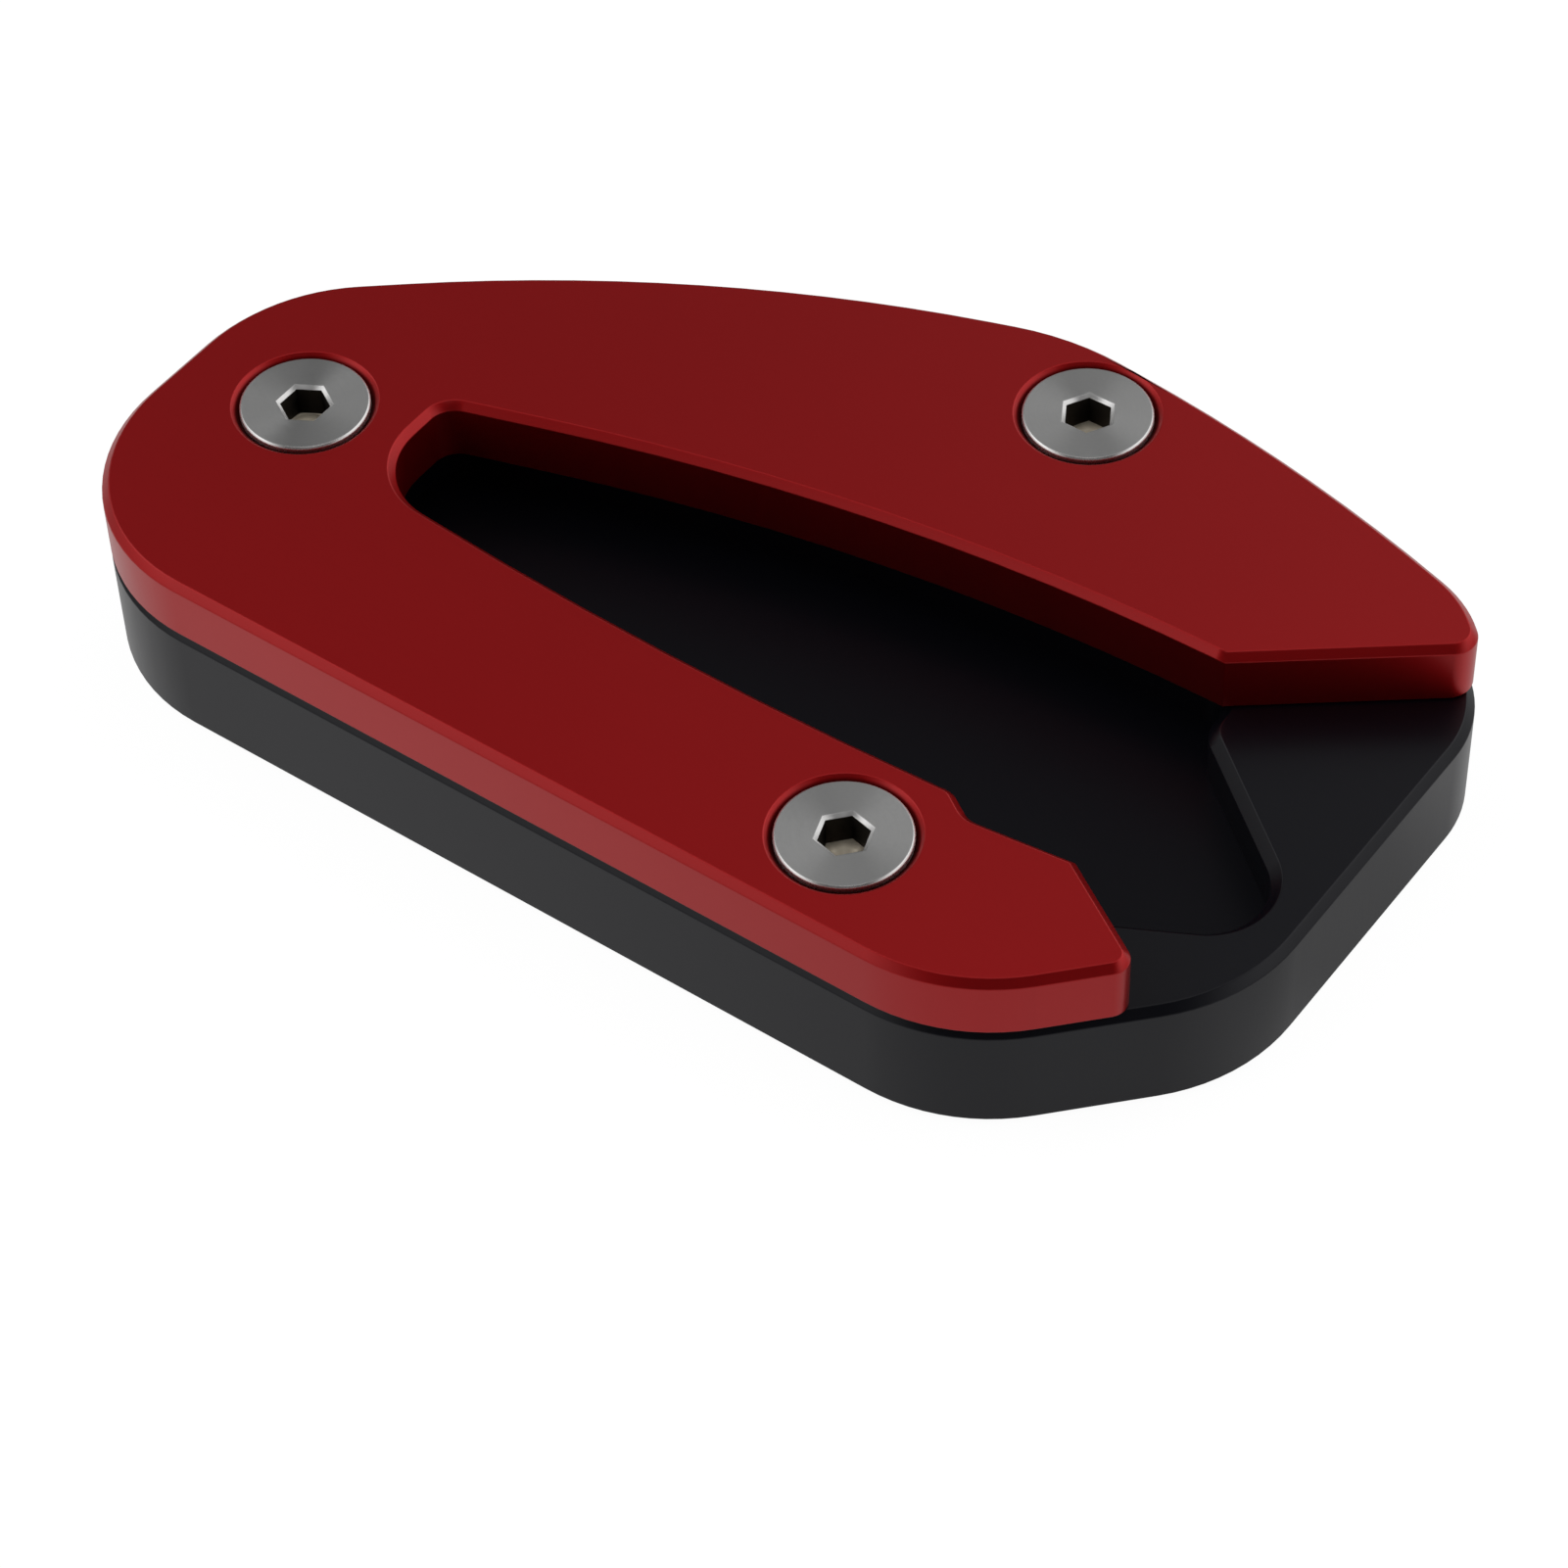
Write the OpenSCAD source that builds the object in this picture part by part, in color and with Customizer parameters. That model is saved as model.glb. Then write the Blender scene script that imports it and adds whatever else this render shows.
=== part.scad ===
// Foot enlarger for a motorbike kickstand: a base plate with a sunken pocket for the foot of the stand,
// a fork-shaped clamp plate that holds the foot down, and three countersunk screws.
// Millimetres. It lies as it is used: ground at z = 0, toe towards +X, long curved side towards +Y.

/* [Plates] */
// Length from heel to toe
length = 118.3; // [106:0.1:132]
// Width from the straight side to the top of the curved side
width = 71.5; // [66:0.1:80]
// Thickness of the base plate
base_t = 12; // [10:0.1:18]
// Thickness of the clamp plate
clamp_t = 6.4; // [5:0.1:10]
// Chamfer on the upper and lower edge of the base plate
edge_chamfer = 0.75; // [0.3:0.05:1.2]
// Chamfer on the upper edges of the clamp plate, along the slot too
clamp_chamfer = 0.7; // [0.3:0.05:1.2]
// Broken edge under the clamp plate
clamp_burr = 0.25; // [0.1:0.05:0.5]

/* [Outline] */
// Width of the heel end, as if its corners were square
heel_w = 34.75; // [32:0.05:38]
// Radius of the two heel corners
heel_r = 18.2; // [14:0.1:19]
// Distance along the straight side that the toe corner cuts off
toe_cut_x = 17.9; // [14:0.1:22]
// Distance along the toe that the same corner cuts off
toe_cut_y = 18.7; // [15:0.1:22]
// Radius at both ends of that cut
toe_cut_r = 18.4; // [10:0.1:19]
// Drop of the curved side where it meets the toe
toe_drop = 10.4; // [8:0.1:13]
// Radius of the toe corner on the curved side
toe_far_r = 12.45; // [8:0.05:15]
// Distance from the toe to the highest point of the curved side
peak_back = 52.65; // [48:0.05:57]
// Radius at that highest point
peak_r = 25.8; // [18:0.1:32]
// Bow of the curved side between the toe and its highest point
toe_bow = 3.08; // [1.8:0.02:3.6]
// Bow of the curved side between its highest point and the heel
heel_bow = 6.96; // [5:0.02:8]

/* [Slot] */
// Width of the near arm at the closed end of the slot
near_arm_w = 20.6; // [19:0.1:22]
// Distance from the heel to the closed end of the slot
slot_start = 23.4; // [21.5:0.1:30]
// Slot width at its closed end
slot_heel_w = 11.3; // [9:0.1:14]
// Slot width at its mouth
slot_mouth_w = 26.35; // [22:0.05:28]
// Bow of the far side of the slot
far_slot_bow = 5.77; // [4:0.01:7]
// Bow of the near side of the slot
near_slot_bow = 2.13; // [1:0.01:3]
// Distance from the toe to the corner of the far arm
far_arm_back = 19.3; // [16:0.1:26]
// Slope of the cut at the end of the far arm
far_arm_slope = 37.4; // [32:0.1:42]
// Radius of the tip of the far arm
far_tip_r = 2.4; // [1.4:0.1:3]
// Distance from the toe to the corner of the near arm
near_arm_back = 17.2; // [15.5:0.1:22]
// Slope of the cut at the end of the near arm
near_arm_slope = 31.8; // [26:0.1:38]
// Radius of the tip of the near arm
near_tip_r = 1.8; // [1.4:0.1:2.4]
// Distance from the corner of the near arm back to its small step
step_back = 10.05; // [7:0.05:14]
// Height of that step
step_h = 1.83; // [0.8:0.01:2.4]

/* [Pocket] */
// Depth of the pocket in the base plate
pocket_depth = 5; // [3:0.1:7]
// Reach of the pocket under the arms
pocket_reach = 3.25; // [1.5:0.05:3.8]
// Distance from the toe to the straight wall of the pocket
pocket_back = 18.4; // [16:0.05:24]
// Wall left between the pocket and the toe
pocket_toe_wall = 3.6; // [2.5:0.1:8]
// Radius of the pocket corner behind the toe
pocket_toe_r = 6.6; // [4:0.1:8]
// Chamfer on the rim of the pocket
pocket_chamfer = 1; // [0.3:0.05:1.2]

/* [Screws] */
// Distance of the heel screw from the heel
heel_screw_in = 12.98; // [11:0.01:15]
// Distance of the heel screw from the straight side
heel_screw_up = 24.69; // [20:0.01:28]
// Distance of the far screw from the toe
far_screw_in = 45.81; // [40:0.01:52]
// Distance of the far screw from the top of the curved side
far_screw_down = 7.78; // [7.2:0.01:10]
// Distance of the near screw from the toe
near_screw_in = 34.65; // [30:0.01:60]
// Distance of the near screw from the straight side
near_screw_up = 9.89; // [8:0.01:11]
// Diameter of the screw heads
head_d = 12; // [11.2:0.1:12.4]
// Height of the straight rim of a head
head_rim = 0.77; // [0.2:0.01:0.9]
// Diameter of the threaded shank
shank_d = 6; // [5:0.1:6.4]
// Height of the screw ends above the ground
screw_end = 2.2; // [0.6:0.1:4]
// Width across the flats of the socket
socket_af = 4; // [3:0.1:5]
// Depth of the socket
socket_depth = 2.5; // [1.5:0.1:3]
// Diameter of the countersinks at the top face
sink_d = 13.55; // [12.8:0.05:13.8]
// Play around a shank in its tapped hole
shank_play = 0.1; // [0.05:0.05:0.3]

/* [Hidden] */
over = 0.4;
heel_x = -length / 2;
toe_x = length / 2;
near_y = -width / 2;
far_y = width / 2;
total_t = base_t + clamp_t;
floor_z = base_t - pocket_depth;
$fn = 96;

// A corner is [x, y, radius]. A list of corners, taken anticlockwise, makes one outline.
function spot(c) = [c[0], c[1]];
function with_r(p, r) = [p[0], p[1], r];
function unit(v) = v / norm(v);
function turned(v, a) = [v[0] * cos(a) - v[1] * sin(a), v[0] * sin(a) + v[1] * cos(a)];
function aimed(a) = turned([1, 0], a);
function meet(p, u, q, w) = p + u * cross(q - p, w) / cross(u, w);
function into(V, i) = unit(spot(V[i]) - spot(V[(i + len(V) - 1) % len(V)]));
function bend(V, i) = let(a = into(V, i), b = into(V, (i + 1) % len(V))) atan2(cross(a, b), a * b);

// Small corners turn in steps of 4.5 degrees, long gentle arcs in steps of 1.5 degrees
function steps(V) = [for (i = [0 : len(V) - 1])
    V[i][2] == 0 ? 0 : V[i][2] > 60 ? ceil(abs(bend(V, i)) / 1.5) : ceil(abs(bend(V, i)) / 4.5)];
function arc(V, i, m) = let(
    d = into(V, i), t = bend(V, i), r = V[i][2], s = sign(t),
    begin = spot(V[i]) - d * r * tan(abs(t) / 2), out = turned(d, -90) * r * s)
    m == 0 ? [spot(V[i])] : [for (k = [0 : m]) begin - out + turned(out, t * k / m)];
function outline(V, m) = [for (i = [0 : len(V) - 1]) each arc(V, i, m[i])];

// The same outline moved outwards by d, or inwards where d is negative
function grown(V, d) = [for (i = [0 : len(V) - 1]) let(
    n1 = turned(into(V, i), -90), n2 = turned(into(V, (i + 1) % len(V)), -90),
    p = spot(V[i]) + d * (n1 + n2) / (1 + n1 * n2), r = V[i][2])
    [p[0], p[1], r == 0 ? 0 : max(r + sign(bend(V, i)) * d, 0.05)]];

// A side from a to b that bows to its right has one corner between them, rise away from the chord.
// Its long arc has a radius that uses up a share of the shorter half.
function bowed(a, b, at, rise) = a + at * (b - a) + rise * turned(unit(b - a), -90);
function bow_r(a, p, b, share) = let(u = unit(p - a), w = unit(b - p), t = abs(atan2(cross(u, w), u * w)))
    share * min(norm(p - a), norm(b - p)) / tan(t / 2);

// A closed band with the cross-section S, a list of [distance outwards, height] taken anticlockwise
module band(V, S) {
    m = steps(V);
    loops = [for (s = S) outline(grown(V, s[0]), m)];
    n = len(loops[0]);
    k = len(S);
    points = [for (j = [0 : k - 1]) for (p = loops[j]) [p[0], p[1], S[j][1]]];
    faces = [for (j = [0 : k - 1]) for (i = [0 : n - 1]) let(g = (j + 1) % k, h = (i + 1) % n)
        [j * n + i, g * n + i, g * n + h, j * n + h]];
    polyhedron(points = points, faces = faces, convexity = 8);
}
module slab(V, z0, z1) {
    translate([0, 0, z0]) linear_extrude(height = z1 - z0) polygon(outline(V, steps(V)));
}

// A plate with the plan V whose lower and upper edges are broken by c0 and c1: the band is everything
// that the side of the plate leaves out, so that one cut shapes the wall and both chamfers
module plate(V, z0, z1, c0, c1) difference() {
    slab(grown(V, over / 2), z0, z1);
    band(V, [[over, z0 - over], [over, z1 + over], [-c1 - over, z1 + over],
        [0, z1 - c1], [0, z0 + c0], [-c0 - over, z0 - over]]);
}

// The space of a pocket with the plan V at its rim, from its floor at z0 up through the face at z1
module pocket(V, z0, z1, c) difference() {
    slab(grown(V, over * 1.5), z0, z1 + over);
    band(V, [[-c, z0 - over], [over * 3, z0 - over], [over * 3, z1 + over * 2], [over * 2, z1 + over * 2],
        [-c, z1 - c]]);
}

// Plan of the base plate: straight side first, then the toe and the curved side back to the heel
toe_cut_a = [toe_x - toe_cut_x, near_y];
toe_cut_b = [toe_x, near_y + toe_cut_y];
toe_far = [toe_x, far_y - toe_drop];
heel_far = [heel_x, near_y + heel_w];
top_point = [toe_x - peak_back, far_y];
toe_side = bowed(toe_far, top_point, 0.515, toe_bow);
heel_side = bowed(top_point, heel_far, 0.464, heel_bow);

// The corner at the peak stands a little higher, so that its arc comes up to the full width
function peak_lift(p) = let(u = unit(p - toe_side), w = unit(heel_side - p), half = atan2(cross(u, w), u * w) / 2)
    [0, peak_r * (tan(half) * u[1] - 1 - u[0])];
peak = top_point + peak_lift(top_point + peak_lift(top_point));
base_plan = [
    [heel_x, near_y, heel_r],
    with_r(toe_cut_a, toe_cut_r),
    with_r(toe_cut_b, toe_cut_r),
    with_r(toe_far, toe_far_r),
    with_r(toe_side, bow_r(toe_far, toe_side, peak, 0.7)),
    with_r(peak, peak_r),
    with_r(heel_side, bow_r(peak, heel_side, heel_far, 0.78)),
    with_r(heel_far, heel_r)];

// Plan of the slot between the arms: closed end, mouth, and the small step in the near arm
mouth_drop = 2.05;
step_drop = 1.1;
step_run = 2.8;
slot_x = heel_x + slot_start;
slot_y = near_y + near_arm_w;
slot_heel_near = [slot_x, slot_y];
slot_heel_far = [slot_x, slot_y + slot_heel_w];
near_corner = [toe_x - near_arm_back, slot_y - mouth_drop];
far_corner = [toe_x - far_arm_back, near_corner[1] + slot_mouth_w];
step_low = near_corner - [step_back, step_drop];
step_high = step_low + [-step_run, step_h];
near_bow = bowed(slot_heel_near, step_high, 0.549, near_slot_bow);
far_bow = bowed(far_corner, slot_heel_far, 0.445, far_slot_bow);

// The cut at the end of the far arm runs from its corner to the toe arc of the base plate
toe_turn = 90 + atan2(toe_far[1] - toe_side[1], toe_far[0] - toe_side[0]);
toe_arc = [toe_x - toe_far_r, toe_far[1] - toe_far_r * tan(toe_turn / 2)];
cut_way = aimed(far_arm_slope);
cut_off = cross(cut_way, toe_arc - far_corner);
cut_len = cut_way * (toe_arc - far_corner) + sqrt(toe_far_r * toe_far_r - cut_off * cut_off);

// The rounded tip of that arm begins a little before the end of the arc
tip_out = turned(unit(far_corner + cut_way * cut_len - toe_arc), atan(1.25 * far_tip_r / toe_far_r));
tip_from = toe_arc + toe_far_r * tip_out;
far_tip = meet(tip_from, turned(tip_out, 90), far_corner, cut_way);
shoulder = meet(tip_from, turned(tip_out, 90), toe_side, unit(toe_far - toe_side));
near_tip = meet(toe_cut_a, unit(toe_cut_b - toe_cut_a), near_corner, aimed(-near_arm_slope));

// Plan of the clamp plate: the curved side, heel and straight side are those of the base plate
step_r = 2.25;
clamp_plan = [
    with_r(far_tip, far_tip_r),
    with_r(shoulder, toe_far_r),
    base_plan[4],
    base_plan[5],
    base_plan[6],
    base_plan[7],
    base_plan[0],
    base_plan[1],
    with_r(near_tip, near_tip_r),
    with_r(near_corner, 0),
    with_r(step_low, step_r),
    with_r(step_high, step_r),
    with_r(near_bow, bow_r(step_high, near_bow, slot_heel_near, 0.94)),
    with_r(slot_heel_near, 0.664 * slot_heel_w),
    with_r(slot_heel_far, 0.22 * slot_heel_w),
    with_r(far_bow, bow_r(slot_heel_far, far_bow, far_corner, 0.97)),
    with_r(far_corner, 0)];

// Plan of the pocket: it reaches under both arms, and ends in a rounded nose behind the toe
nose_far_slope = -38.5;
nose_near_slope = 27.5;
nose_drop = 2.2;
pocket_heel_r = 9;
pocket_side_r = 28;
pocket_bend_r = 2.6;
pocket_far_r = 4;
pocket_x = slot_x - pocket_reach;
wall_x = toe_x - pocket_back;
pocket_low = [pocket_x, slot_heel_near[1] - pocket_reach];
pocket_high = [pocket_x, slot_heel_far[1] + pocket_reach];
pocket_bow = far_bow + [0, pocket_reach];
pocket_far = [wall_x, far_corner[1] + pocket_reach];
pocket_bend = [wall_x, far_corner[1] - nose_drop];
nose_x = toe_x - pocket_toe_wall - pocket_toe_r;
nose = [nose_x, pocket_bend[1] + (nose_x - wall_x) * tan(nose_far_slope) - pocket_toe_r / cos(nose_far_slope)];
nose_touch = nose + pocket_toe_r * aimed(nose_near_slope - 90);
pocket_toe = meet(nose_touch, aimed(nose_near_slope), pocket_bend, aimed(nose_far_slope));
pocket_near = meet(nose_touch, aimed(nose_near_slope), [0, near_corner[1] - pocket_reach], [1, 0]);
pocket_plan = [
    with_r(pocket_low, pocket_heel_r),
    with_r(pocket_near, pocket_side_r),
    with_r(pocket_toe, pocket_toe_r),
    with_r(pocket_bend, pocket_bend_r),
    with_r(pocket_far, min(pocket_far_r, pocket_reach + nose_drop - pocket_bend_r / 2)),
    with_r(pocket_bow, bow_r(pocket_high, pocket_bow, pocket_far, 0.85)),
    with_r(pocket_high, pocket_far_r)];

// Where the screws stand, and the small sizes of screws and holes
heel_spot = [heel_x + heel_screw_in, near_y + heel_screw_up];
far_spot = [toe_x - far_screw_in, far_y - far_screw_down];
near_spot = [toe_x - near_screw_in, near_y + near_screw_up];
spots = [heel_spot, far_spot, near_spot];
head_top = total_t - (sink_d - head_d) / 2 + head_rim;
screw_len = head_top - screw_end;
screw_bevel = 0.8;
head_edge = 0.18;
socket_lead = 0.33;
lead_foot = 0.1;
drill_point = 0.7;
drill_gap = 0.05;
thread_r = shank_d / 2 + shank_play;
thread_lead = 0.5;
plain_hole_r = thread_r + 0.2;

base_plate();
clamp_plate();
heel_screw();
far_screw();
near_screw();

// Black base plate with the pocket for the stand and three tapped holes right through
module base_plate() color("#26262a") difference() {
    plate(base_plan, 0, base_t, edge_chamfer, edge_chamfer);
    pocket(pocket_plan, floor_z, base_t, pocket_chamfer);
    for (s = spots) translate([s[0], s[1], -over]) {
        cylinder(r = thread_r, h = base_t + 2 * over);
        cylinder(r1 = thread_r + thread_lead + over, r2 = thread_r, h = thread_lead + over);
    }
}

// Red clamp plate: a fork with two arms, three countersunk holes and broken edges
module clamp_plate() color("#a01a1e") difference() {
    plate(clamp_plan, base_t, total_t, clamp_burr, clamp_chamfer);
    for (s = spots) translate([s[0], s[1], total_t]) {
        translate([0, 0, -clamp_t - over]) cylinder(r = plain_hole_r, h = clamp_t + 2 * over);
        translate([0, 0, -sink_d / 2]) cylinder(r1 = 0, r2 = sink_d / 2 + over, h = sink_d / 2 + over);
    }
}

module heel_screw() screw(heel_spot, 30);
module far_screw() screw(far_spot, 0);
module near_screw() screw(near_spot, 48);

// Countersunk screw with a hex socket: its cone lies in the countersink of the clamp plate
module screw(where, turn) color("#b9b9b6") translate([where[0], where[1], head_top]) difference() {
    r = head_d / 2;
    s = shank_d / 2;
    rotate_extrude() polygon([[0, -screw_len], [s - screw_bevel, -screw_len], [s, -screw_len + screw_bevel],
        [s, -head_rim - r + s], [r, -head_rim], [r, -head_edge], [r - head_edge, 0], [0, 0]]);
    rotate([0, 0, turn]) {
        translate([0, 0, -socket_depth]) hexagon(socket_af, socket_af, socket_depth + over);
        // The mouth of the socket is chamfered: this cut begins a little inside its walls
        translate([0, 0, -socket_lead - lead_foot]) hexagon(socket_af - 2 * lead_foot,
            socket_af + 2 * (socket_lead + over), socket_lead + lead_foot + over);
    }
    // Drill point at the bottom of the socket
    translate([0, 0, -socket_depth - drill_point])
        cylinder(r1 = 0, r2 = socket_af / 2 - drill_gap, h = drill_point + drill_gap);
}

// A hexagonal bar with its own width across the flats at each end
module hexagon(af_0, af_1, h) cylinder(r1 = af_0 / sqrt(3), r2 = af_1 / sqrt(3), h = h, $fn = 6);
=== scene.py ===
import bmesh
import bpy
import math
from mathutils import Matrix, Vector


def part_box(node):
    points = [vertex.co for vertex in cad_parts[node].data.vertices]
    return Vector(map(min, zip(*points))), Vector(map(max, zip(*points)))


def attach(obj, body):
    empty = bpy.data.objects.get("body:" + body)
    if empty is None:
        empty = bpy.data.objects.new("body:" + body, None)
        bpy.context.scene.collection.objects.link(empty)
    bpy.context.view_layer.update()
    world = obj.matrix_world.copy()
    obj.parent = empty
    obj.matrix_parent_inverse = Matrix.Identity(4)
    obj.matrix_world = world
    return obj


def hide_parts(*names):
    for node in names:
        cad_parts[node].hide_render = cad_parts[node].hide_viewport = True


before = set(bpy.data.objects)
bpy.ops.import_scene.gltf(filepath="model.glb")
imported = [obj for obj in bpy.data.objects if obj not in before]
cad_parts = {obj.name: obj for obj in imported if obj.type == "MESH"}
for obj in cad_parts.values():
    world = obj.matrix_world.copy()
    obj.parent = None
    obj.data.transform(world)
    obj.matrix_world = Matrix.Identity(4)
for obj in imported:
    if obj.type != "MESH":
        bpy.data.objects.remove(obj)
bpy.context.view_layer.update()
scene = bpy.context.scene


# Base plate. A 12 mm slab of aluminium, milled to its outline, with the pocket for the stand's foot sunk
# into it and three M6 holes tapped right through. Its edges are broken and it is anodised satin black.
# It lies on the ground and carries everything else.

MM = 0.001
SAME_POINT = 0.002 * MM          # points of a CAD mesh that lie closer than this are one point
ON_THE_CUT = 0.0001 * MM         # a point this close to a cut through a mesh lies on it
SAME_FACE = math.radians(0.2)    # faces that bend less than this are one flat face
SHARP_EDGE = math.radians(28)    # an outer edge that bends more than this is broken by hand
CRISP_EDGE = math.radians(40)    # an edge that bends more than this is not shaded as a curve
BROKEN_EDGE = 0.09 * MM          # what the hand takes off a sharp edge of a plate
MARK_HEIGHT = 0.004 * MM         # how far the marks of tools and the grain stand out
PITCH = 1.0 * MM                 # an M6 thread climbs 1 mm a turn
THREAD_ROWS = 12                 # rows of points to one turn of a thread
THREAD_DEPTH = 0.5 * MM
ROUND_PLAY = 0.05 * MM           # the flat strips of a round wall lie this much inside its radius at most
HOLE_R = 3.1 * MM
HOLE_LEAD = 0.5 * MM             # the countersink at the ground end of a tapped hole
HOLE_THREAD_START = 0.15 * MM    # above that countersink
HOLE_THREAD_STOP = 0.1 * MM      # below the foot of the screw, where the thread goes out of sight
POCKET_FLOOR_BELOW = 11.2 * MM   # faces that look up from below this height are the pocket's end-milled floor
BLACK_DEEP, BLACK_PALE = (0.0019, 0.0022, 0.0052, 1), (0.0031, 0.0034, 0.0068, 1)
BLACK_SHEEN = (0.97, 0.965, 1.0, 1)
SCREW_NODES = ("heel_screw", "far_screw", "near_screw")


def screw_ends(node):
    """The foot and the head of a screw, as points on its axis."""
    low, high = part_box(node)
    x, y = (low.x + high.x) / 2, (low.y + high.y) / 2
    return Vector((x, y, low.z)), Vector((x, y, high.z))


def away_from(axis, point):
    return math.hypot(point.x - axis.x, point.y - axis.y)


def work_piece(node):
    """A copy of a CAD solid to work on, without doubled points and needless edges on its flat faces."""
    bm = bmesh.new()
    bm.from_mesh(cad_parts[node].data)
    bmesh.ops.remove_doubles(bm, verts=bm.verts, dist=SAME_POINT)
    bmesh.ops.dissolve_limit(bm, angle_limit=SAME_FACE, verts=bm.verts, edges=bm.edges)
    return bm


def break_edges(bm, size):
    sharp = [e for e in bm.edges if e.calc_face_angle_signed(0) > SHARP_EDGE]
    bmesh.ops.bevel(bm, geom=sharp, offset=size, offset_type="OFFSET", segments=2, profile=0.5,
                    affect="EDGES", clamp_overlap=True)


def round_wall(bm, axis, wall_r, z_low, z_high):
    """The upright faces at one radius from an axis that reach past both heights."""
    wall = []
    for face in bm.faces:
        heights = [v.co.z for v in face.verts]
        off_radius = abs(away_from(axis, face.calc_center_median()) - wall_r)
        if abs(face.normal.z) < 0.1 and off_radius < ROUND_PLAY and min(heights) < z_low and max(heights) > z_high:
            wall.append(face)
    return wall


def cut_thread(bm, axis, wall_r, z_low, z_high):
    """Cut a rounded thread into an upright round wall. It fades in and out over half a turn."""
    wall = round_wall(bm, axis, wall_r, z_low, z_high)
    part = list(dict.fromkeys([*wall, *(e for f in wall for e in f.edges), *(v for f in wall for v in f.verts)]))
    turns = (z_high - z_low) / PITCH
    for row in range(round(turns * THREAD_ROWS) + 1):
        part = bmesh.ops.bisect_plane(bm, geom=part, plane_co=(0, 0, z_low + row * PITCH / THREAD_ROWS),
                                      plane_no=(0, 0, 1), dist=ON_THE_CUT)["geom"]
    for vert in part:
        if isinstance(vert, bmesh.types.BMVert):
            climb = (vert.co.z - z_low) / PITCH
            if 0 < climb < turns:
                turn = math.atan2(vert.co.y - axis.y, vert.co.x - axis.x) / (2 * math.pi)
                fade = min(1, 2 * climb, 2 * (turns - climb))
                cut = THREAD_DEPTH * fade * (0.5 - 0.5 * math.cos(2 * math.pi * (climb - turn)))
                inward = 1 - cut / away_from(axis, vert.co)
                vert.co.x = axis.x + (vert.co.x - axis.x) * inward
                vert.co.y = axis.y + (vert.co.y - axis.y) * inward


def finished_piece(name, bm):
    """Make the object: smooth arcs, crisp edges, and flat faces that shade flat."""
    mesh = bpy.data.meshes.new(name)
    for face in bm.faces:
        face.smooth = True
    bm.to_mesh(mesh)
    bm.free()
    mesh.set_sharp_from_angle(angle=CRISP_EDGE)
    piece = bpy.data.objects.new(name, mesh)
    scene.collection.objects.link(piece)
    flat = piece.modifiers.new("flat_faces", "WEIGHTED_NORMAL")
    flat.keep_sharp = True
    return piece


class Shade:
    """One socket of a material. Sums on it add Math nodes, and node() adds any other node."""

    def __init__(self, tree, socket=None):
        self.tree, self.socket = tree, socket

    def node(self, kind, settings=None, inputs=None, out=0):
        made = self.tree.nodes.new(kind)
        for name, value in (settings or {}).items():
            setattr(made, name, value)
        for name, value in (inputs or {}).items():
            if isinstance(value, Shade):
                self.tree.links.new(value.socket, made.inputs[name])
            else:
                made.inputs[name].default_value = value
        return Shade(self.tree, made.outputs[out] if made.outputs else None)

    def math(self, operation, a, b=None):
        return self.node("ShaderNodeMath", {"operation": operation},
                         {i: v for i, v in enumerate((a, b)) if v is not None})

    def __add__(self, other): return self.math("ADD", self, other)
    def __radd__(self, other): return self.math("ADD", other, self)
    def __sub__(self, other): return self.math("SUBTRACT", self, other)
    def __rsub__(self, other): return self.math("SUBTRACT", other, self)
    def __mul__(self, other): return self.math("MULTIPLY", self, other)
    def __rmul__(self, other): return self.math("MULTIPLY", other, self)
    def __neg__(self): return self.math("MULTIPLY", self, -1.0)
    def __abs__(self): return self.math("ABSOLUTE", self)

    def above(self, low, high):
        """0 below low, 1 above high, and smooth between them."""
        return self.node("ShaderNodeMapRange", {"interpolation_type": "SMOOTHSTEP"},
                         {"Value": self, "From Min": low, "From Max": high})

    def tint(self, colour_0, colour_1):
        """The colour that is colour_0 where this value is 0 and colour_1 where it is 1."""
        return self.node("ShaderNodeMix", {"data_type": "RGBA"}, {0: self, 6: colour_0, 7: colour_1}, out=2)

    def part(self, axis):
        return self.node("ShaderNodeSeparateXYZ", inputs={0: self}, out="XYZ".index(axis))

    def vector(self, operation, other=None, out=0):
        inputs = {i: v for i, v in enumerate((self, other)) if v is not None}
        return self.node("ShaderNodeVectorMath", {"operation": operation}, inputs, out)

    def stretched(self, x, y, z):
        return self.vector("MULTIPLY", (x, y, z))

    def length(self):
        return self.vector("LENGTH", out=1)

    def along(self, direction):
        """How far this place or direction reaches along another direction."""
        return self.vector("DOT_PRODUCT", direction, out=1)

    def noise(self, scale, detail=2.0, rough=0.5):
        return self.node("ShaderNodeTexNoise", {"noise_dimensions": "3D"},
                         {"Vector": self, "Scale": scale, "Detail": detail, "Roughness": rough})


def start_material(name):
    """A new material, and the first handle for the expressions on it."""
    material = bpy.data.materials.new(name)
    material.use_nodes = True
    material.node_tree.nodes.clear()
    return material, Shade(material.node_tree)


def end_material(shader):
    shader.node("ShaderNodeOutputMaterial", inputs={"Surface": shader})


def millimetres(s):
    """Places on the object in millimetres, in the frame of the CAD model."""
    return s.node("ShaderNodeTexCoord", out=3).stretched(1 / MM, 1 / MM, 1 / MM)


def faces_up(s):
    """The height part of the surface's own direction: 1 on a top face, 0 on an upright wall."""
    return s.node("ShaderNodeNewGeometry", out=1).part("Z")


def marks_bump(s, strength, height):
    return s.node("ShaderNodeBump", inputs={"Strength": strength, "Distance": MARK_HEIGHT, "Height": height})


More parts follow.
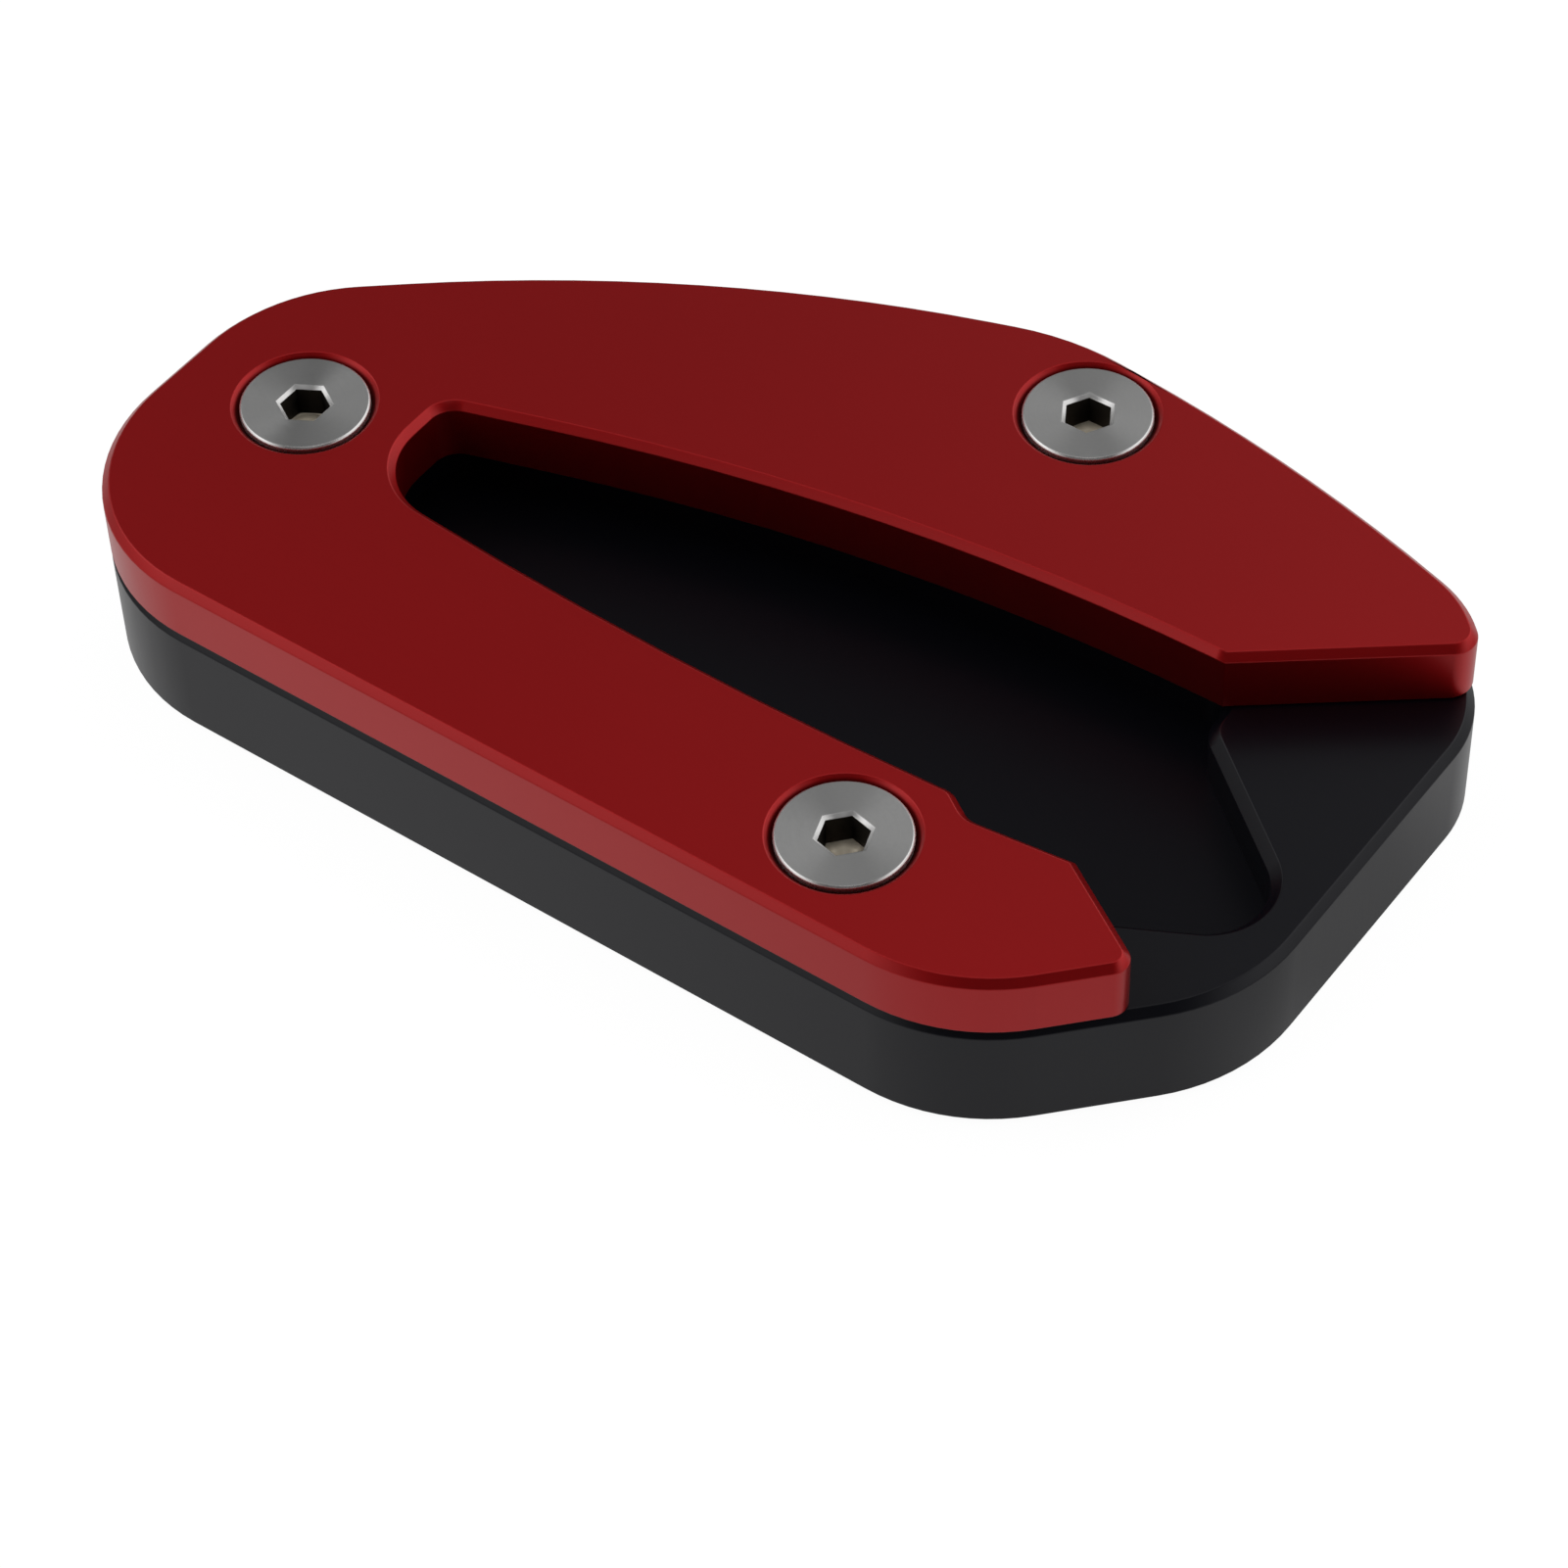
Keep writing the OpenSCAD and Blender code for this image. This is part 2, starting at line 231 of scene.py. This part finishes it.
def milled_marks(s, place):
    """The blasted grain, the lay of the cutter on flat faces, and a bump of both with the lines on the walls."""
    grain = place.noise(5.0, detail=3.0, rough=0.7)
    wall = 1 - abs(faces_up(s)).above(0.15, 0.5)
    lines = place.stretched(0.02, 0.02, 6.0).noise(1.0, detail=3.0, rough=0.6)
    lay = place.stretched(0.15, 4.0, 0.15).noise(1.0, detail=3.0, rough=0.6)
    height = grain * 0.5 + lines * wall * 0.8 + lay * (1 - wall) * 0.45
    return grain, lay, marks_bump(s, 0.35, height)


def black_anodised(name, rough, ior):
    material, s = start_material(name)
    place = millimetres(s)
    grain, lay, bump = milled_marks(s, place)
    clouds = place.noise(0.05) * 0.6 + grain * 0.4
    end_material(s.node("ShaderNodeBsdfPrincipled", inputs={
        "Base Color": clouds.tint(BLACK_DEEP, BLACK_PALE), "Metallic": 0.0,
        "Roughness": rough + grain * 0.05 + lay * 0.04, "IOR": ior,
        "Specular Tint": BLACK_SHEEN, "Normal": bump}))
    return material


base_work = work_piece("base_plate")
break_edges(base_work, BROKEN_EDGE)
for node in SCREW_NODES:
    foot, _ = screw_ends(node)
    cut_thread(base_work, foot, HOLE_R, HOLE_LEAD + HOLE_THREAD_START, foot.z - HOLE_THREAD_STOP)
for face in base_work.faces:
    if face.normal.z > 0.5 and face.calc_center_median().z < POCKET_FLOOR_BELOW:
        face.material_index = 1      # the second material that the base gets
base = finished_piece("base_plate_milled", base_work)
base.data.materials.append(black_anodised("black_anodised_satin", rough=0.25, ior=1.42))
base.data.materials.append(black_anodised("black_anodised_pocket_floor", rough=0.4, ior=1.28))
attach(base, "root")
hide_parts("base_plate")


# Clamp plate. A fork cut from 6.4 mm aluminium plate to the same outline as the base, chamfered on top and
# along the slot, and countersunk for three screws, then anodised satin red. It lies flat on the base and
# the screws hold it there.

SINK_PAINTED_SHADE_R = (6.3, 6.62)    # inside this ring, in mm, a countersink gets painted shade round the head
RED_DEEP, RED_PALE = (0.505, 0.0042, 0.006, 1), (0.555, 0.0054, 0.0075, 1)
# the painted shade in each countersink, dark where the gap round the head lies in shadow
RED_PAINTED_SHADE = (0.1, 0.0015, 0.002, 1)
RED_COAT = 0.6               # the clear coat on the red, which is taken off where the countersinks get painted shade


def red_anodised():
    material, s = start_material("red_anodised_aluminium")
    place = millimetres(s)
    grain, lay, bump = milled_marks(s, place)
    clouds = place.noise(0.04) * 0.7 + grain * 0.3
    # Painted shade: a ring of each countersink round the head is darker and has no coat.
    sink_painted_shade = 0.0
    for node in SCREW_NODES:
        _, head = screw_ends(node)
        radius = place.vector("SUBTRACT", tuple(head / MM)).stretched(1, 1, 0).length()
        sink_painted_shade = sink_painted_shade + (1 - radius.above(*SINK_PAINTED_SHADE_R))
    end_material(s.node("ShaderNodeBsdfPrincipled", inputs={
        "Base Color": sink_painted_shade.tint(clouds.tint(RED_DEEP, RED_PALE), RED_PAINTED_SHADE), "Metallic": 1.0,
        "Roughness": 0.41 + grain * 0.08 + lay * 0.05, "IOR": 1.5,
        "Coat Weight": RED_COAT - sink_painted_shade * RED_COAT, "Coat Roughness": 0.25, "Normal": bump}))
    return material


clamp_work = work_piece("clamp_plate")
break_edges(clamp_work, BROKEN_EDGE)
clamp = finished_piece("clamp_plate_milled", clamp_work)
clamp.data.materials.append(red_anodised())
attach(clamp, "root")
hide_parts("clamp_plate")


# Screws. Three M6 x 16 countersunk screws of stainless steel with a 4 mm hex socket. The heads are turned on
# top, which leaves fine rings, the socket is punched, with painted shade on its walls and painted light on its
# floor, and the thread is rolled. They go down through the clamp plate into the tapped holes of the base.

HEAD_EDGE = 0.05 * MM
SHANK_R = 3.0 * MM
SHANK_LEAD = 0.8 * MM        # the cone at the screw's foot
SHANK_THREAD_START = 0.05 * MM   # above that cone
NECK_DEPTH = 4.5 * MM        # the thread ends this far below the top of the head
SOCKET_R = 2.5 * MM          # the socket's floor lies inside this ring, and deeper than the next value
SOCKET_FLOOR_FROM = 2.0 * MM
SOCKET_DEEPER = 0.7 * MM     # the punched floor lies this much deeper than the nominal 2.5 mm
STEEL_DEEP, STEEL_PALE = (0.56, 0.56, 0.555, 1), (0.66, 0.66, 0.655, 1)
# near white, a painted highlight on the mouth of the socket and the rim of the head
STEEL_PAINTED_HIGHLIGHT = (0.97, 0.96, 0.95, 1)
# painted shade on the socket's walls, and painted light in beige on its floor
SOCKET_PAINTED_SHADE, SOCKET_PAINTED_LIGHT = (0.045, 0.038, 0.032, 1), (0.95, 0.85, 0.68, 1)

# Where each mark of a screw begins, in mm, the painted highlights and the painted shade and light in the socket
# among them: radii from its axis, and depths below the top of its head.
HEX_EDGE_R, MOUTH_EDGE_R, HIGHLIGHT_RIM_R = (2.45, 2.6), (2.66, 2.7), (5.8, 5.84)
MOUTH_TOP, WALL_TOP, WALL_FOOT, FLOOR_TOP = (0.01, 0.04), (0.31, 0.36), (4.0, 4.5), (2.6, 2.9)


def rolled_screw(node):
    bm = work_piece(node)
    foot, head = screw_ends(node)
    for vert in bm.verts:
        depth = head.z - vert.co.z
        if away_from(head, vert.co) < SOCKET_R and SOCKET_FLOOR_FROM < depth < NECK_DEPTH:
            vert.co.z -= SOCKET_DEEPER
    break_edges(bm, HEAD_EDGE)
    cut_thread(bm, foot, SHANK_R, foot.z + SHANK_LEAD + SHANK_THREAD_START, head.z - NECK_DEPTH)
    return finished_piece(node + "_turned", bm)


def turned_steel(centre):
    """Bright turned steel, with a painted highlight on the mouth of the socket and on the rim of the head, painted
    shade on the socket's walls and painted light on its floor.
    """
    material, s = start_material("turned_stainless_steel")
    place = millimetres(s)
    out = place.vector("SUBTRACT", centre)
    depth = -out.part("Z")
    radius = out.stretched(1, 1, 0).length()
    rings = s.node("ShaderNodeTexNoise", {"noise_dimensions": "1D"},
                   {"W": radius, "Scale": 9.0, "Detail": 3.0, "Roughness": 0.7})
    top = faces_up(s).above(0.9, 0.99)
    grain = place.noise(3.0, detail=3.0)
    bump = marks_bump(s, 0.4, rings * top + grain * 0.3)
    in_socket = 1 - radius.above(*HEX_EDGE_R)
    mouth = depth.above(*MOUTH_TOP) * (1 - radius.above(*MOUTH_EDGE_R))
    # Painted shade on the walls of the socket, and painted light on its floor.
    wall = depth.above(*WALL_TOP) * (1 - depth.above(*WALL_FOOT)) * in_socket
    floor = depth.above(*FLOOR_TOP) * in_socket * faces_up(s).above(0.5, 0.8)
    # Painted highlight: the mouth of the socket and the rim of the head are painted near white.
    painted_highlight = mouth + radius.above(*HIGHLIGHT_RIM_R)
    colour = (rings * 0.6 + grain * 0.4).tint(STEEL_DEEP, STEEL_PALE)
    colour = painted_highlight.tint(colour, STEEL_PAINTED_HIGHLIGHT)
    colour = wall.tint(colour, SOCKET_PAINTED_SHADE)
    colour = floor.tint(colour, SOCKET_PAINTED_LIGHT)
    end_material(s.node("ShaderNodeBsdfPrincipled", inputs={
        "Base Color": colour, "Metallic": 1.0,
        "Roughness": 0.24 + rings * 0.12 * top + grain * 0.08 + mouth * 0.1,
        "Anisotropic": 0.88, "Anisotropic Rotation": 0.25, "Normal": bump}))
    return material


for node in SCREW_NODES:
    _, head = screw_ends(node)
    screw = rolled_screw(node)
    screw.data.materials.append(turned_steel(tuple(head / MM)))
    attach(screw, "root")
    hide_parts(node)


# Table, light and camera. The object stands on a plain white table between two large soft boxes, and the
# camera looks down on it from above the straight side, near the toe.

TO_CAMERA = (0.607, -0.794, 0.0)     # level, from the object to the camera
TO_RIGHT = (0.794, 0.607, 0.0)       # level, to the camera's right
TABLE_REACH = 3.0
TABLE_BELOW = 0.03 * MM              # the table lies this far below the object, so that no faces coincide
FRONT_DIMS = (10.0, 75.0)            # mm towards the camera, over which the reflected table dims, a painted falloff of its glow
TOE_SHADOW_MIDDLE = (68.0, 4.0, 0.0)         # mm, the middle of a painted shadow by the toe, which only reflections see
TOE_SHADOW_R = (8.0, 24.0)            # mm, the radii between which it fades
SEEN_GLOW, REFLECTED_GLOW = 0.85, 0.7    # how much of the table's look is glow, and not lit paper


def grey(level):
    return (level, level, level, 1)


def white_table():
    """White paper that keeps the object's shadow, and glows for the camera and in reflections alone. In
    reflections its glow has painted shade: it dims towards the camera and by the toe.
    """
    material, s = start_material("white_table")
    camera_ray = s.node("ShaderNodeLightPath")
    glossy_ray = Shade(s.tree, camera_ray.socket.node.outputs["Is Glossy Ray"])
    paper = s.node("ShaderNodeBsdfDiffuse", inputs={"Color": grey(0.9)})
    place = millimetres(s)
    # Painted shade on the reflected glow: a painted shadow by the toe, and a falloff towards the camera.
    toe_painted_shadow = 1 - place.vector("SUBTRACT", TOE_SHADOW_MIDDLE).length().above(*TOE_SHADOW_R)
    reflected = place.along(TO_CAMERA).above(*FRONT_DIMS).tint(grey(0.75), grey(0.53))
    reflected = toe_painted_shadow.tint(reflected, grey(0.38))
    light = camera_ray.tint(reflected, grey(1.13))
    glow = s.node("ShaderNodeEmission", inputs={"Color": light, "Strength": 1.0})
    seen = s.math("MAXIMUM", camera_ray * SEEN_GLOW, glossy_ray * REFLECTED_GLOW)
    end_material(s.node("ShaderNodeMixShader", inputs={0: seen, 1: paper, 2: glow}))
    return material


table_mesh = bpy.data.meshes.new("table")
table_mesh.from_pydata([(-TABLE_REACH, -TABLE_REACH, 0), (TABLE_REACH, -TABLE_REACH, 0),
                        (TABLE_REACH, TABLE_REACH, 0), (-TABLE_REACH, TABLE_REACH, 0)], [], [(0, 1, 2, 3)])
table_mesh.materials.append(white_table())
table = bpy.data.objects.new("table", table_mesh)
table.location.z = -TABLE_BELOW
scene.collection.objects.link(table)

# The light tent has two large boxes, left and right of the camera, with a dark gap towards the camera, a dim
# wall behind the object, and a weak low light in front. The camera itself sees plain white.
world = bpy.data.worlds.new("light_tent")
scene.world = world
world.use_nodes = True
world.node_tree.nodes.clear()
w = Shade(world.node_tree)
toward = w.node("ShaderNodeTexCoord", out=0)
to_right, to_front = toward.along(TO_RIGHT), toward.along(TO_CAMERA)
height = toward.part("Z")
gap = 0.35 * to_front.above(-0.4, 0.3)


def soft_box(sideways, foot_fade, body_fade):
    """How bright a box is in each direction. A quarter of its light reaches down to its foot."""
    return (sideways - gap).above(0.1, 0.55) * (0.25 * height.above(*foot_fade) + 0.75 * height.above(*body_fade))


right_box = soft_box(to_right, (-0.1, 0.0), (0.05, 0.5))
left_box = soft_box(-to_right, (-0.05, 0.2), (0.25, 0.55))
left_box = left_box * (0.45 + 0.55 * to_front.above(-0.75, -0.2))
back_wall = (-to_front).above(0.0, 0.6) * (0.035 + 0.16 * to_right.above(-0.12, 0.12))
low_front = 0.22 * to_front.above(0.1, 0.5) * (1 - height.above(0.2, 0.45))
tent = 0.05 + back_wall + low_front + 0.85 * right_box + 1.12 * left_box
camera_ray = w.node("ShaderNodeLightPath")
tent_and_white = camera_ray + (1 - camera_ray) * tent
back = w.node("ShaderNodeBackground", inputs={"Color": grey(1), "Strength": tent_and_white})
back.node("ShaderNodeOutputWorld", inputs={"Surface": back})

overhead = bpy.data.lights.new("overhead_box", "AREA")
overhead.shape, overhead.size, overhead.energy = "SQUARE", 0.7, 0.6
overhead_box = bpy.data.objects.new("overhead_box", overhead)
overhead_box.location = (0.0, 0.0, 0.8)
scene.collection.objects.link(overhead_box)

EYE = Vector((183.5, -241.8, 321.9)) * MM
LENS, SENSOR = 111.39, 36.0
AHEAD = Vector((-0.6074, 0.7944, 0.0))
LOOK_DOWN, ROLL = math.radians(47.937), math.radians(2.121)
look = AHEAD * math.cos(LOOK_DOWN) - Vector((0, 0, math.sin(LOOK_DOWN)))
side = look.cross(Vector((0, 0, 1))).normalized()
down = look.cross(side)
right = math.cos(ROLL) * side + math.sin(ROLL) * down
below = -math.sin(ROLL) * side + math.cos(ROLL) * down
view = bpy.data.cameras.new("photo_view")
view.lens, view.sensor_width, view.sensor_fit = LENS, SENSOR, "HORIZONTAL"
view.clip_start, view.clip_end = 0.01, 20
camera = bpy.data.objects.new("photo_view", view)
camera.matrix_world = Matrix((
    (right.x, -below.x, -look.x, EYE.x),
    (right.y, -below.y, -look.y, EYE.y),
    (right.z, -below.z, -look.z, EYE.z),
    (0, 0, 0, 1)))
scene.collection.objects.link(camera)
scene.camera = camera
scene.view_settings.view_transform = "Standard"

bpy.context.view_layer.update()
